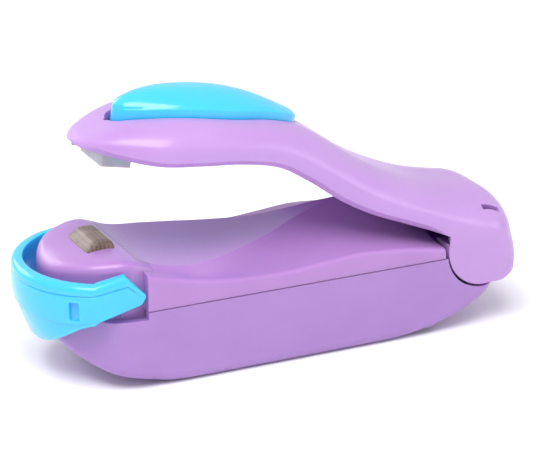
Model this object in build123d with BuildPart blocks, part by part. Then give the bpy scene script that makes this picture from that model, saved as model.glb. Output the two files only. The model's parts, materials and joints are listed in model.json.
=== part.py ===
from build123d import *
import os
from math import cos, radians, sin, sqrt

# Handheld bag heat sealer, in millimetres.
# X runs along the body, with the jaws at -X and the hinge at +X. Z is up, and Z = 0 is the resting face.
# The arm is drawn from its hinge axis: "along" is the distance behind (+) or in front of (-) the axis,
# and "up" is the height above it, both measured in the arm, which rests lifted by OPEN_ANGLE.

# Overall sizes
HALF_WIDTH = 19.0
SEAM_Z = 18.3
WALL = 1.8

# Hinge
HINGE_X = 48.6
HINGE_Z = 19.6
OPEN_ANGLE = 10.9
EAR_R = 9.0
EAR_GAP = 0.6
BACK_R = 11.3
PIN_R = 1.5
PIN_CLEARANCE = 0.05
PIN_HALF = 17.8
EAR_INNER_Y = 16.6
LUG_Y = 10.0
LUG_WIDTH = 3.6
LUG_R = 4.6

# Nose and jaws
NOSE_X = -37.7
NOSE_R = 16.2
STEP_X = -36.0
JAW_X = -41.8
JAW_LENGTH = 7.0
JAW_HALF = 6.0
JAW_CLOSED_Z = 31.45
DECK_REAR_X = 38.4

# Cells, two AA side by side
CELL_R = 7.25
CELL_LENGTH = 50.5
CELL_FRONT_X = -22.0
CELL_BACK_X = CELL_FRONT_X + CELL_LENGTH
CELL_Y = 7.4
CELL_Z = 9.9

# Battery cover and its channel in the bottom
COVER_FRONT_X = -24.0
COVER_BACK_X = 32.0
COVER_HALF = 13.0
COVER_BOTTOM = 0.1
COVER_TOP = 1.7
CHANNEL_TOP = 1.85
BAY_FLOOR_Z = 3.6
BAY_HALF = 12.0

# Safety lock
LOCK_PIVOT_X = -40.0
LOCK_PIVOT_Z = 24.5
LOCK_OUTER_R = 22.1
LOCK_INNER_R = 19.2
LOCK_INNER_Y = 16.45
LOCK_TOP_Z = 26.4
LOCK_STUD_R = 2.0

# Press pad
PAD_FRONT = -90.4
PAD_BACK = -45.6
PAD_GAP = 0.35

# Shell screws
SCREW_R = 1.15
SCREW_HEAD_R = 2.2
SCREW_SEAT_Z = 8.0
SCREW_TIP_Z = 21.2
SCREW_SPOTS = [(-30.5, 12.0), (-30.5, -12.0), (34.4, 15.2), (34.4, -15.2)]

COS_OPEN = cos(radians(OPEN_ANGLE))
SIN_OPEN = sin(radians(OPEN_ANGLE))
HINGE = Vector(HINGE_X, 0, HINGE_Z)
ALONG = Vector(COS_OPEN, 0, -SIN_OPEN)
UP = Vector(SIN_OPEN, 0, COS_OPEN)
ARM_SIDE = Plane(origin=HINGE, x_dir=ALONG, z_dir=(0, -1, 0))
ARM_TOP = Plane(origin=HINGE, x_dir=ALONG, z_dir=UP)
SIDE = Plane(origin=(0, 0, 0), x_dir=(1, 0, 0), z_dir=(0, -1, 0))


def arm_section(along):
    """The cross-section plane of the arm, this far along it from the hinge axis."""
    return Plane(origin=HINGE + ALONG * along, x_dir=(0, 1, 0), z_dir=ALONG)


def body_section(x):
    """The cross-section plane of the base at this X."""
    return Plane(origin=(x, 0, 0), x_dir=(0, 1, 0), z_dir=(1, 0, 0))


# ---------------------------------------------------------------- base, lower shell

BOW = [(-54.0, 0), (-52.3, 7.4), (-46.8, 14.2), (STEP_X, HALF_WIDTH)]
STERN_X = 53.6
STERN_CORNER = 6.0
BOTTOM_FRONT = [(-55.0, 13.6), (-51.5, 9.0), (-44.5, 4.2), (-34.0, 1.2), (-20.0, 0)]
BOTTOM_BACK = [(22.0, 0), (37.0, 1.8), (45.3, 4.7), (STERN_X, 10.6)]
BOTTOM_EDGE_R = 2.6
LOCK_POCKET_Z = 16.6
FLOOR_LENGTH = 65.0
FLOOR_MIDDLE_X = 6.5
FLOOR_MARGIN = 1.75
LUG_FOOT_X = HINGE_X - 4.2
LUG_FOOT_LENGTH = 6.4


def half_plan(inset):
    """Half of the lower shell's plan outline, drawn inside it by the inset and closed on the centreline."""
    width = HALF_WIDTH - inset
    bow = [(x + inset, max(y - inset, 0)) for x, y in BOW]
    stern = STERN_X - inset
    corner = STERN_CORNER - inset
    Spline(*bow, tangents=[(0, 1), (1, 0)])
    Line(bow[-1], (stern - corner, width))
    RadiusArc((stern - corner, width), (stern, width - corner), corner)
    Polyline((stern, width - corner), (stern, 0), bow[0])


def side_outline(rise, top):
    """The lower shell's side outline, raised by rise: a boat's bottom, flat amidships."""
    front = [(x, z + rise) for x, z in BOTTOM_FRONT]
    back = [(x, z + rise) for x, z in BOTTOM_BACK]
    Spline(*front, tangents=[(0.6, -1), (1, 0)])
    Line(front[-1], back[0])
    Spline(*back, tangents=[(1, 0), (1, 0.9)])
    Polyline(back[-1], (back[-1][0], top), (front[0][0], top), front[0])


EAR_END_ANGLE = -75
BACK_LOW_ANGLE = -24
BACK_MIDDLE_ANGLE = 33
EAR_STEP_UP = 2.0
BACK_SWELL = 1.0


def polar(radius, angle):
    """A point at this distance and angle from the hinge axis."""
    return (radius * cos(radians(angle)), radius * sin(radians(angle)))


def ear_outline(radius, ear):
    """The arm's back end from the side: a round ear below, growing into a larger round back."""
    ear_end = polar(ear, EAR_END_ANGLE)
    back_low = polar(radius + BACK_SWELL / 2, BACK_LOW_ANGLE)
    ThreePointArc((-ear, 0), polar(ear, -120), ear_end)
    Spline(ear_end, back_low, tangents=[polar(1, EAR_END_ANGLE + 90), polar(1, BACK_LOW_ANGLE + 90)])
    ThreePointArc(back_low, polar(radius + BACK_SWELL, BACK_MIDDLE_ANGLE), (0, radius))
    Polyline((0, radius), (0, EAR_STEP_UP), (-ear, EAR_STEP_UP), (-ear, 0))


with BuildPart() as tray_hollow:
    with BuildSketch(Plane.XY):
        with BuildLine():
            half_plan(WALL)
        make_face()
        mirror(about=Plane.XZ)
    extrude(amount=SEAM_Z + 1)
    with BuildSketch(SIDE):
        with BuildLine():
            side_outline(WALL, SEAM_Z + 1)
        make_face()
    extrude(amount=HALF_WIDTH, both=True, mode=Mode.INTERSECT)

# raised floor round the battery bay
with BuildPart() as bay_floor:
    with BuildSketch(Plane.XY):
        with Locations((FLOOR_MIDDLE_X, 0)):
            Rectangle(FLOOR_LENGTH, 2 * COVER_HALF + 2 * FLOOR_MARGIN)
    extrude(amount=BAY_FLOOR_Z)
    with BuildSketch(SIDE):
        with BuildLine():
            side_outline(WALL / 2, SEAM_Z)
        make_face()
    extrude(amount=HALF_WIDTH, both=True, mode=Mode.INTERSECT)

with BuildPart() as hinge_lugs:
    for lug_side in (SIDE.offset(LUG_Y), SIDE.offset(-LUG_Y - LUG_WIDTH)):
        with BuildSketch(lug_side):
            with Locations((HINGE_X, HINGE_Z)):
                Circle(LUG_R)
            with Locations((LUG_FOOT_X, HINGE_Z / 2)):
                Rectangle(LUG_FOOT_LENGTH, HINGE_Z)
        extrude(amount=LUG_WIDTH)
    with BuildSketch(SIDE):
        with BuildLine():
            side_outline(WALL / 2, HINGE_Z + 2 * LUG_R)
        make_face()
    extrude(amount=HALF_WIDTH, both=True, mode=Mode.INTERSECT)

with BuildPart() as base_lower_shell:
    with BuildSketch(Plane.XY):
        with BuildLine():
            half_plan(0)
        make_face()
        mirror(about=Plane.XZ)
    extrude(amount=SEAM_Z)
    with BuildSketch(SIDE):
        with BuildLine():
            side_outline(0, SEAM_Z)
        make_face()
    extrude(amount=HALF_WIDTH + 1, both=True, mode=Mode.INTERSECT)
    low_edges = [edge for edge in base_lower_shell.edges() if edge.center().Z < 12]
    bottom_rim = [edge for edge in low_edges if abs(edge.center().Y) > 3]
    fillet(bottom_rim, BOTTOM_EDGE_R)
    add(tray_hollow.part, mode=Mode.SUBTRACT)
    add(bay_floor.part)
    # posts that the shell screws pass through
    with BuildSketch(Plane.XY.offset(WALL)):
        with Locations(*SCREW_SPOTS):
            Circle(SCREW_HEAD_R + 1.0)
    extrude(amount=SEAM_Z - WALL)
    # round cradle for the back of the arm
    with BuildSketch(SIDE):
        with Locations((HINGE_X, HINGE_Z)):
            Circle(EAR_R + EAR_GAP)
    extrude(amount=HALF_WIDTH + 1, both=True, mode=Mode.SUBTRACT)
    with BuildSketch(ARM_SIDE):
        with BuildLine():
            ear_outline(BACK_R + EAR_GAP, EAR_R + EAR_GAP)
        make_face()
    extrude(amount=HALF_WIDTH + 1, both=True, mode=Mode.SUBTRACT)
    add(hinge_lugs.part)
    # channel and opening for the battery cover
    with BuildSketch(Plane.XY):
        with Locations(((COVER_FRONT_X - 0.2 + STERN_X) / 2, 0)):
            Rectangle(STERN_X - COVER_FRONT_X + 0.2, 2 * COVER_HALF + 0.4)
    extrude(amount=CHANNEL_TOP, mode=Mode.SUBTRACT)
    with BuildSketch(Plane.XY):
        with Locations(((CELL_FRONT_X + CELL_BACK_X) / 2, 0)):
            Rectangle(CELL_LENGTH + 3.0, 2 * BAY_HALF)
    extrude(amount=BAY_FLOOR_Z, mode=Mode.SUBTRACT)
    # bore for the hinge pin
    with BuildSketch(SIDE):
        with Locations((HINGE_X, HINGE_Z)):
            Circle(PIN_R)
    extrude(amount=HALF_WIDTH, both=True, mode=Mode.SUBTRACT)
    # screw holes, counterbored from below
    with BuildSketch(Plane.XY):
        with Locations(*SCREW_SPOTS):
            Circle(SCREW_HEAD_R + 0.2)
    extrude(amount=SCREW_SEAT_Z, mode=Mode.SUBTRACT)
    with BuildSketch(Plane.XY):
        with Locations(*SCREW_SPOTS):
            Circle(SCREW_R + 0.15)
    extrude(amount=SEAM_Z, mode=Mode.SUBTRACT)
    # pocket that the lock hangs in
    with BuildSketch(Plane.XY.offset(LOCK_POCKET_Z)):
        with Locations((STEP_X - HALF_WIDTH, 0)):
            Rectangle(2 * HALF_WIDTH, 2 * HALF_WIDTH + 2)
        with Locations((NOSE_X, 0)):
            Circle(NOSE_R, mode=Mode.SUBTRACT)
        with Locations((NOSE_X + NOSE_R / 2, 0)):
            Rectangle(NOSE_R, 2 * NOSE_R, mode=Mode.SUBTRACT)
    extrude(amount=SEAM_Z, mode=Mode.SUBTRACT)

# ---------------------------------------------------------------- base, upper shell

# One row per cross-section of the deck: X, height of the side rim, scoop half-width, scoop height
DECK = [
    (STEP_X, 27.0, 13.2, 28.6),
    (-31.0, 25.8, 14.2, 27.1),
    (-24.0, 24.1, 14.8, 26.2),
    (-17.0, 23.0, 13.2, 26.0),
    (-9.0, 22.4, 9.8, 26.3),
    (0.0, 22.4, 6.0, 27.1),
    (8.0, 23.0, 2.9, 28.8),
    (16.0, 23.6, 1.2, 30.1),
    (24.0, 23.1, 1.2, 30.2),
    (32.0, 22.1, 1.2, 28.4),
    (DECK_REAR_X, 20.9, 1.2, 25.0),
]
COVE_LIFT = 0.15
COVE_DROP = 1.2
NOSE_TOP = [(-54.5, 26.6), (-51.0, 28.3), (-45.0, 29.3), (-39.0, 29.5), (STEP_X, 28.7)]
NOSE_EDGE_R = 1.8
LOCK_BOSS_Y = 12.8
HEATER_FLANGE_TOP = 25.0
HEATER_SCREW_Y = 8.6
HEATER_SCREW_R = 0.9
SLOT_X = 27.0
SLOT_LENGTH = 7.4
SLOT_WIDTH = 8.0
BOSS_R = 2.6
FRONT_BOSS_HEIGHT = 7.6
SWITCH_RIB_Z = 21.0
RIB_REACH = 8.0


def deck_outline(rim_z, scoop_half, scoop_z, inset, bottom):
    """A cross-section of the deck, drawn inside it by the inset: flat sides, coved flanks, flat scoop."""
    width = HALF_WIDTH - inset
    rim = rim_z - inset
    half = max(scoop_half - inset / 2, 0.5)
    top = scoop_z - inset
    for side in (1, -1):
        cove = [(side * (half + width) / 2, rim + COVE_LIFT), (side * (half + 1.0), top - COVE_DROP)]
        Line((0, bottom), (side * width, bottom))
        Line((side * width, bottom), (side * width, rim))
        Bezier((side * width, rim), *cove, (side * half, top))
        Line((side * half, top), (0, top))


with BuildPart() as deck_hollow:
    for x, rim_z, scoop_half, scoop_z in DECK:
        station = min(max(x, STEP_X + WALL), DECK_REAR_X - WALL)
        with BuildSketch(body_section(station)):
            with BuildLine():
                deck_outline(rim_z, scoop_half, scoop_z, WALL, SEAM_Z - 1)
            make_face()
    loft()

with BuildPart() as nose_hollow:
    with BuildSketch(Plane.XY.offset(SEAM_Z - 1)):
        with Locations((NOSE_X, 0)):
            Circle(NOSE_R - WALL)
        with Locations((NOSE_X + 5.0, 0)):
            Rectangle(10.0, 2 * (NOSE_R - WALL))
    extrude(amount=15)
    with BuildSketch(SIDE):
        with BuildLine():
            nose_roof = Spline(*[(x, z - WALL) for x, z in NOSE_TOP])
            back_x = NOSE_X + 10
            front_x = NOSE_TOP[0][0]
            Polyline(nose_roof @ 1, (back_x, 27.0 - WALL), (back_x, SEAM_Z - 1))
            Polyline((back_x, SEAM_Z - 1), (front_x, SEAM_Z - 1), nose_roof @ 0)
        make_face()
    extrude(amount=HALF_WIDTH, both=True, mode=Mode.INTERSECT)

with BuildPart() as nose_block:
    with BuildSketch(Plane.XY.offset(SEAM_Z)):
        with Locations((NOSE_X, 0)):
            Circle(NOSE_R)
        with Locations(((NOSE_X + STEP_X) / 2, 0)):
            Rectangle(STEP_X - NOSE_X, 2 * NOSE_R)
        with Locations((STEP_X + NOSE_R, 0)):
            Rectangle(2 * NOSE_R, 4 * NOSE_R, mode=Mode.SUBTRACT)
    extrude(amount=14)
    with BuildSketch(SIDE):
        with BuildLine():
            nose_line = Spline(*NOSE_TOP)
            Polyline(nose_line @ 1, (STEP_X, SEAM_Z), (-54.5, SEAM_Z), nose_line @ 0)
        make_face()
    extrude(amount=HALF_WIDTH, both=True, mode=Mode.INTERSECT)
    nose_rim = [e for e in nose_block.edges() if e.center().Z > 25 and e.center().X < STEP_X - 0.5]
    fillet(nose_rim, NOSE_EDGE_R)

with BuildPart() as base_upper_shell:
    for x, rim_z, scoop_half, scoop_z in DECK:
        with BuildSketch(body_section(x)):
            with BuildLine():
                deck_outline(rim_z, scoop_half, scoop_z, 0, SEAM_Z)
            make_face()
    loft()
    add(nose_block.part)
    add(deck_hollow.part, mode=Mode.SUBTRACT)
    add(nose_hollow.part, mode=Mode.SUBTRACT)
    # window for the heater, with two bosses that hold its block
    with BuildSketch(Plane.XY.offset(HEATER_FLANGE_TOP)):
        with Locations((JAW_X, HEATER_SCREW_Y), (JAW_X, -HEATER_SCREW_Y)):
            Circle(2.0)
    extrude(amount=28.2 - HEATER_FLANGE_TOP)
    with BuildSketch(Plane.XY.offset(SEAM_Z)):
        with Locations((JAW_X, HEATER_SCREW_Y), (JAW_X, -HEATER_SCREW_Y)):
            Circle(HEATER_SCREW_R)
    extrude(amount=27.0 - SEAM_Z, mode=Mode.SUBTRACT)
    with BuildSketch(Plane.XY.offset(HEATER_FLANGE_TOP)):
        with Locations((JAW_X, 0)):
            Rectangle(JAW_LENGTH + 0.2, 2 * JAW_HALF + 0.2)
    extrude(amount=8, mode=Mode.SUBTRACT)
    # bosses and bores for the lock's studs
    for stud_side in (SIDE.offset(LOCK_BOSS_Y), SIDE.offset(-NOSE_R + 0.6)):
        with BuildSketch(stud_side):
            with Locations((LOCK_PIVOT_X, LOCK_PIVOT_Z)):
                Circle(LOCK_STUD_R + 1.4)
        extrude(amount=NOSE_R - 0.6 - LOCK_BOSS_Y)
    with BuildSketch(SIDE):
        with Locations((LOCK_PIVOT_X, LOCK_PIVOT_Z)):
            Circle(LOCK_STUD_R + PIN_CLEARANCE)
    extrude(amount=HALF_WIDTH + 1, both=True, mode=Mode.SUBTRACT)
    # screw bosses, blind
    with BuildSketch(Plane.XY.offset(SEAM_Z)):
        with Locations(*SCREW_SPOTS[:2]):
            Circle(BOSS_R)
    extrude(amount=FRONT_BOSS_HEIGHT)
    with BuildSketch(Plane.XY.offset(SEAM_Z)):
        with Locations(*SCREW_SPOTS[2:]):
            Circle(BOSS_R)
    extrude(amount=SCREW_TIP_Z - SEAM_Z + 0.3)
    with BuildSketch(Plane.XY.offset(SEAM_Z)):
        with Locations(*SCREW_SPOTS):
            Circle(SCREW_R)
    extrude(amount=SCREW_TIP_Z - SEAM_Z, mode=Mode.SUBTRACT)
    # slot for the switch plunger, and two ribs that hold the switch block
    for rib_x, rib_top in ((SLOT_X - RIB_REACH, 29.0), (SLOT_X + RIB_REACH, 26.0)):
        with BuildSketch(Plane.XY.offset(SWITCH_RIB_Z)):
            with Locations((rib_x, 0)):
                Rectangle(2.0, 3.6)
        extrude(amount=rib_top - SWITCH_RIB_Z)
    with BuildSketch(Plane.XY.offset(25)):
        with Locations((SLOT_X, 0)):
            Rectangle(SLOT_LENGTH, SLOT_WIDTH)
    extrude(amount=10, mode=Mode.SUBTRACT)
    # arc cut for the arm's round ears
    with BuildSketch(SIDE):
        with Locations((HINGE_X, HINGE_Z)):
            Circle(EAR_R + EAR_GAP)
    extrude(amount=HALF_WIDTH + 1, both=True, mode=Mode.SUBTRACT)

# ---------------------------------------------------------------- battery cover and cells

with BuildPart() as battery_cover:
    with BuildSketch(Plane.XY.offset(COVER_BOTTOM)):
        with Locations(((COVER_FRONT_X + COVER_BACK_X) / 2, 0)):
            Rectangle(COVER_BACK_X - COVER_FRONT_X, 2 * COVER_HALF)
    extrude(amount=COVER_TOP - COVER_BOTTOM)
    with BuildSketch(SIDE):
        with BuildLine():
            side_outline(COVER_BOTTOM, SEAM_Z)
        make_face()
    extrude(amount=HALF_WIDTH, both=True, mode=Mode.INTERSECT)
    # finger grooves
    for groove in range(5):
        with BuildSketch(Plane.XY):
            with Locations((20.0 + 2.0 * groove, 0)):
                Rectangle(0.9, 14.0)
        extrude(amount=0.6 + 0.08 * groove, mode=Mode.SUBTRACT)


def cell_profile(reverse):
    """Half of a cell's outline along its axis, with the nub at the far end unless it is reversed."""
    base = CELL_BACK_X if reverse else CELL_FRONT_X
    way = -1 if reverse else 1
    can = [(0, 0), (0, 6.6), (0.65, CELL_R), (48.5, CELL_R), (49.1, 6.6)]
    nub = [(49.1, 2.75), (CELL_LENGTH, 2.75), (CELL_LENGTH, 0)]
    return [(base + way * x, r) for x, r in can + nub]


with BuildPart() as aa_cell_left:
    with BuildSketch(Plane(origin=(0, CELL_Y, CELL_Z), x_dir=(1, 0, 0), z_dir=(0, -1, 0))):
        with BuildLine():
            Polyline(*cell_profile(False), close=True)
        make_face()
    revolve(axis=Axis((0, CELL_Y, CELL_Z), (1, 0, 0)))

with BuildPart() as aa_cell_right:
    with BuildSketch(Plane(origin=(0, -CELL_Y, CELL_Z), x_dir=(1, 0, 0), z_dir=(0, -1, 0))):
        with BuildLine():
            Polyline(*cell_profile(True), close=True)
        make_face()
    revolve(axis=Axis((0, -CELL_Y, CELL_Z), (1, 0, 0)))

CONTACT_GAP = 2.2
PLATE_THICK = 0.4
PLATE_HEIGHT = 11.6
PLATE_WIDTH = 10.0
BRIDGE_X = CELL_FRONT_X - CONTACT_GAP
TAIL_X = CELL_BACK_X + CONTACT_GAP

with BuildPart() as bridge_contact:
    with BuildSketch(body_section(BRIDGE_X)):
        with Locations((0, BAY_FLOOR_Z + PLATE_HEIGHT / 2)):
            RectangleRounded(2 * CELL_Y + PLATE_WIDTH, PLATE_HEIGHT, 1.5)
    extrude(amount=-PLATE_THICK)
    with BuildSketch(body_section(BRIDGE_X)):
        with Locations((-CELL_Y, CELL_Z)):
            Circle(2.4)
    extrude(amount=CONTACT_GAP, taper=12)

with BuildPart() as contact_plus:
    with BuildSketch(body_section(TAIL_X)):
        with Locations((CELL_Y, BAY_FLOOR_Z + PLATE_HEIGHT / 2)):
            RectangleRounded(PLATE_WIDTH, PLATE_HEIGHT, 1.5)
    extrude(amount=PLATE_THICK)
    with BuildSketch(body_section(TAIL_X)):
        with Locations((CELL_Y, CELL_Z)):
            Circle(2.4)
    extrude(amount=-CONTACT_GAP, taper=12)

with BuildPart() as contact_minus:
    with BuildSketch(body_section(TAIL_X)):
        with Locations((-CELL_Y, BAY_FLOOR_Z + PLATE_HEIGHT / 2)):
            RectangleRounded(PLATE_WIDTH, PLATE_HEIGHT, 1.5)
    extrude(amount=PLATE_THICK)


with BuildPart() as battery_springs:
    for y, first, step in ((CELL_Y, BRIDGE_X, 1), (-CELL_Y, TAIL_X, -1)):
        with BuildSketch(Plane(origin=(first, y, CELL_Z), x_dir=(1, 0, 0), z_dir=(0, -1, 0))):
            with BuildLine():
                Polyline((0, 3.9), (0, 4.7), (step * CONTACT_GAP, 3.2), (step * CONTACT_GAP, 2.4), close=True)
            make_face()
        revolve(axis=Axis((0, y, CELL_Z), (1, 0, 0)))

# ---------------------------------------------------------------- heater

HEATER_TOP = 30.85
COVER_SKIN = 0.3
TENT_FRONT = JAW_X - JAW_LENGTH / 2
TENT_BACK = JAW_X + JAW_LENGTH / 2
TENT_FOOT_Z = 28.4
RIDGE_X = JAW_X - 0.7
STRIP_X = JAW_X + 0.95
STRIP_WIDTH = 2.6


def tent(inset, foot):
    """The heater's cross-section along the body: a steep front slope, a flat top and a steep back."""
    Polyline(
        (TENT_FRONT + inset, foot),
        (TENT_FRONT + inset, 29.1),
        (RIDGE_X + inset / 2, JAW_CLOSED_Z - inset),
        (TENT_BACK - 1.0 - inset / 2, JAW_CLOSED_Z - inset),
        (TENT_BACK - inset, 29.3),
        (TENT_BACK - inset, foot),
        close=True,
    )


with BuildPart() as heater_block:
    with BuildSketch(SIDE):
        with BuildLine():
            tent(2 * COVER_SKIN, HEATER_FLANGE_TOP)
        make_face()
    extrude(amount=JAW_HALF - 2 * COVER_SKIN, both=True)
    with BuildSketch(Plane.XY.offset(HEATER_FLANGE_TOP - 1.6)):
        with Locations((JAW_X, 0)):
            RectangleRounded(JAW_LENGTH + 1.0, 2 * HEATER_SCREW_Y + 4.4, 1.5)
        with Locations((JAW_X, HEATER_SCREW_Y), (JAW_X, -HEATER_SCREW_Y)):
            Circle(HEATER_SCREW_R + 0.15, mode=Mode.SUBTRACT)
    extrude(amount=1.6)

with BuildPart() as heating_strip:
    with BuildSketch(Plane.XY.offset(HEATER_TOP)):
        with Locations((STRIP_X, 0)):
            Rectangle(STRIP_WIDTH, 2 * JAW_HALF - 2 * COVER_SKIN - 0.1)
    extrude(amount=0.2)
    with BuildSketch(Plane.XY.offset(26.0)):
        with Locations((STRIP_X, JAW_HALF - 1.5 * COVER_SKIN), (STRIP_X, -JAW_HALF + 1.5 * COVER_SKIN)):
            Rectangle(STRIP_WIDTH, 0.2)
    extrude(amount=HEATER_TOP + 0.2 - 26.0)

with BuildPart() as heater_cloth:
    with BuildSketch(SIDE):
        with BuildLine():
            tent(0, TENT_FOOT_Z)
        make_face()
    extrude(amount=JAW_HALF, both=True)
    with BuildSketch(SIDE):
        with BuildLine():
            tent(COVER_SKIN, TENT_FOOT_Z)
        make_face()
    extrude(amount=JAW_HALF - COVER_SKIN, both=True, mode=Mode.SUBTRACT)

with BuildPart() as heater_terminals:
    with BuildSketch(Plane.XY.offset(22.2)):
        with Locations((JAW_X + 0.6, 5.6), (JAW_X + 0.6, -5.6)):
            Rectangle(4.0, 2.4)
    extrude(amount=1.2)

with BuildPart() as heater_screws:
    with BuildSketch(Plane.XY.offset(HEATER_FLANGE_TOP - 2.6)):
        with Locations((JAW_X, HEATER_SCREW_Y), (JAW_X, -HEATER_SCREW_Y)):
            Circle(1.7)
    extrude(amount=1.0)
    with BuildSketch(Plane.XY.offset(HEATER_FLANGE_TOP - 1.6)):
        with Locations((JAW_X, HEATER_SCREW_Y), (JAW_X, -HEATER_SCREW_Y)):
            Circle(HEATER_SCREW_R)
    extrude(amount=3.4)

# ---------------------------------------------------------------- switch and leads

PLUNGER_CLOSED_Z = 23.6
LEAF_Z = 22.9
FIXED_LEAF_Z = 21.3
SWITCH_BLOCK_LENGTH = 18.5

with BuildPart() as switch_block:
    with BuildSketch(Plane.XY.offset(SWITCH_RIB_Z - 1.8)):
        with Locations((SLOT_X, 0)):
            Rectangle(SWITCH_BLOCK_LENGTH, 7.0)
    extrude(amount=1.8)
    with BuildSketch(Plane.XY.offset(SWITCH_RIB_Z)):
        with Locations((SLOT_X - 5.0, 0)):
            Rectangle(3.0, 5.0)
    extrude(amount=LEAF_Z - SWITCH_RIB_Z)

with BuildPart() as switch_leaf:
    with BuildSketch(Plane.XY.offset(LEAF_Z)):
        with Locations((SLOT_X - 0.5, 0)):
            Rectangle(12.0, 3.6)
    extrude(amount=0.3)

with BuildPart() as switch_contact:
    with BuildSketch(Plane.XY.offset(SWITCH_RIB_Z)):
        with Locations((SLOT_X + 2.0, 0)):
            Rectangle(8.0, 3.6)
    extrude(amount=0.3)
    with BuildSketch(Plane.XY.offset(FIXED_LEAF_Z)):
        with Locations((SLOT_X + 2.0, 0)):
            Circle(1.2)
    extrude(amount=0.9)

LEAD_R = 0.6
LEAD_BEND_R = 0.9
LEAD_ROUTES = {
    "lead_bridge_to_heater": [
        (BRIDGE_X - 1.0, -4.0, 14.0),
        (BRIDGE_X - 1.0, -4.0, 17.6),
        (JAW_X + 3.0, -4.0, 17.6),
        (JAW_X + 0.6, -5.6, 19.4),
        (JAW_X + 0.6, -5.6, 22.2),
    ],
    "lead_heater_to_switch": [
        (JAW_X + 0.6, 5.6, 22.2),
        (JAW_X + 0.6, 5.6, 19.2),
        (SLOT_X - 10.4, 5.6, 19.2),
        (SLOT_X - 6.6, 2.4, 23.8),
        (SLOT_X - 3.8, 1.2, 23.8),
    ],
    "lead_plus_to_switch": [
        (TAIL_X + 1.0, CELL_Y, 14.0),
        (TAIL_X + 1.0, CELL_Y, 21.65),
        (SLOT_X + 4.0, 2.45, 21.65),
    ],
}

leads = {}
for lead_name, route in LEAD_ROUTES.items():
    with BuildPart() as lead:
        with BuildLine() as lead_line:
            FilletPolyline(*route, radius=LEAD_BEND_R)
        with BuildSketch(Plane(origin=lead_line.line @ 0, z_dir=lead_line.line % 0)):
            Circle(LEAD_R)
        sweep(path=lead_line.wires()[0])
    leads[lead_name] = lead

# ---------------------------------------------------------------- hinge pin and return spring

with BuildPart() as hinge_pin:
    with BuildSketch(SIDE):
        with Locations((HINGE_X, HINGE_Z)):
            Circle(PIN_R)
    extrude(amount=PIN_HALF, both=True)
    chamfer(hinge_pin.edges().filter_by(GeomType.CIRCLE), 0.3)

COIL_R = 3.0
COIL_WIRE = 1.0
COIL_PITCH = 0.95
COIL_TURNS = 8
SPRING_LEG = 9.0
LEG_OVERLAP = 0.6

with BuildPart() as return_spring:
    with BuildSketch(Plane(origin=(HINGE_X, 0, HINGE_Z), x_dir=(0, 1, 0), z_dir=(1, 0, 0))):
        for turn in range(COIL_TURNS):
            with Locations(((turn - (COIL_TURNS - 1) / 2) * COIL_PITCH, COIL_R)):
                Circle(COIL_WIRE / 2)
    revolve(axis=Axis((HINGE_X, 0, HINGE_Z), (0, 1, 0)))
    # one leg lies forward on the base, the other reaches up into the arm
    with BuildSketch(body_section(HINGE_X + LEG_OVERLAP)):
        with Locations((-(COIL_TURNS - 1) / 2 * COIL_PITCH, HINGE_Z - COIL_R)):
            Circle(COIL_WIRE / 2)
    extrude(amount=-SPRING_LEG)
    with BuildSketch(arm_section(LEG_OVERLAP)):
        with Locations(((COIL_TURNS - 1) / 2 * COIL_PITCH, COIL_R)):
            Circle(COIL_WIRE / 2)
    extrude(amount=-SPRING_LEG)

# ---------------------------------------------------------------- arm

# One row per cross-section of the arm: along, lower edge, top, widest half-width, half-width of the top
ARM = [
    (-99.9, 15.8, 16.5, 1.2, 0.6),
    (-99.4, 15.6, 16.6, 2.4, 1.4),
    (-98.2, 15.2, 17.4, 4.8, 2.3),
    (-95.6, 15.1, 18.9, 8.0, 3.1),
    (-91.5, 14.9, 21.2, 11.6, 4.5),
    (-84.0, 14.9, 23.4, 16.0, 8.0),
    (-75.0, 15.7, 24.8, 17.1, 9.9),
    (-65.0, 16.6, 25.0, 17.2, 9.7),
    (-55.0, 16.1, 24.9, 16.7, 7.9),
    (-46.5, 12.9, 23.4, 16.2, 5.9),
    (-38.0, 8.9, 20.0, 16.2, 5.1),
    (-30.0, 6.2, 16.4, 16.6, 4.5),
    (-20.0, 4.2, 13.4, 17.4, 4.0),
    (-10.0, 2.3, 11.6, 18.3, 3.6),
    (0.0, 0.0, BACK_R, HALF_WIDTH, 3.5),
]
LIP = 1.2
LIP_SHARE = 0.35
KNEE_SHARE = 0.2
INNER_LIP = 0.4
SHOULDER = 0.5
HOLLOW_FROM = 3
HOLLOW_FRONT = -94.2


def arm_outline(low, top, half, top_half, inset, bottom, tuck):
    """A cross-section of the arm: a foot tucked in, a short side, a rounded shoulder and a narrow flat top."""
    width = half - inset
    flat = max(top_half - inset * 0.6, 0.5)
    roof = top - inset
    lip = min(LIP, LIP_SHARE * (roof - low))
    knee = low + lip + KNEE_SHARE * (roof - low)
    foot = width - min(tuck, lip)
    bend_up = knee + SHOULDER * (roof - knee)
    bend_out = flat + SHOULDER * (width - flat)
    for side in (1, -1):
        Polyline((0, bottom), (side * foot, bottom), (side * width, low + lip), (side * width, knee))
        Bezier((side * width, knee), (side * width, bend_up), (side * bend_out, roof), (side * flat, roof))
        Line((side * flat, roof), (0, roof))


# One row per cross-section of the press pad: along, half-width, height of its edge, height of its crown
PAD = [
    (PAD_FRONT, 1.6, 23.9, 25.2),
    (-87.5, 4.1, 24.6, 27.0),
    (-82.0, 6.8, 25.8, 28.9),
    (-73.0, 9.3, 26.9, 30.0),
    (-65.0, 9.1, 27.0, 30.1),
    (-57.5, 7.8, 27.0, 29.0),
    (-50.5, 5.5, 26.1, 27.0),
    (PAD_BACK, 1.4, 24.6, 25.1),
]
PAD_SKIRT_UP = 18.7
PAD_FLANGE_UP = 17.9
PAD_SKIN = 1.5
PAD_MIDDLE = (PAD_FRONT + PAD_BACK) / 2


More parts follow.
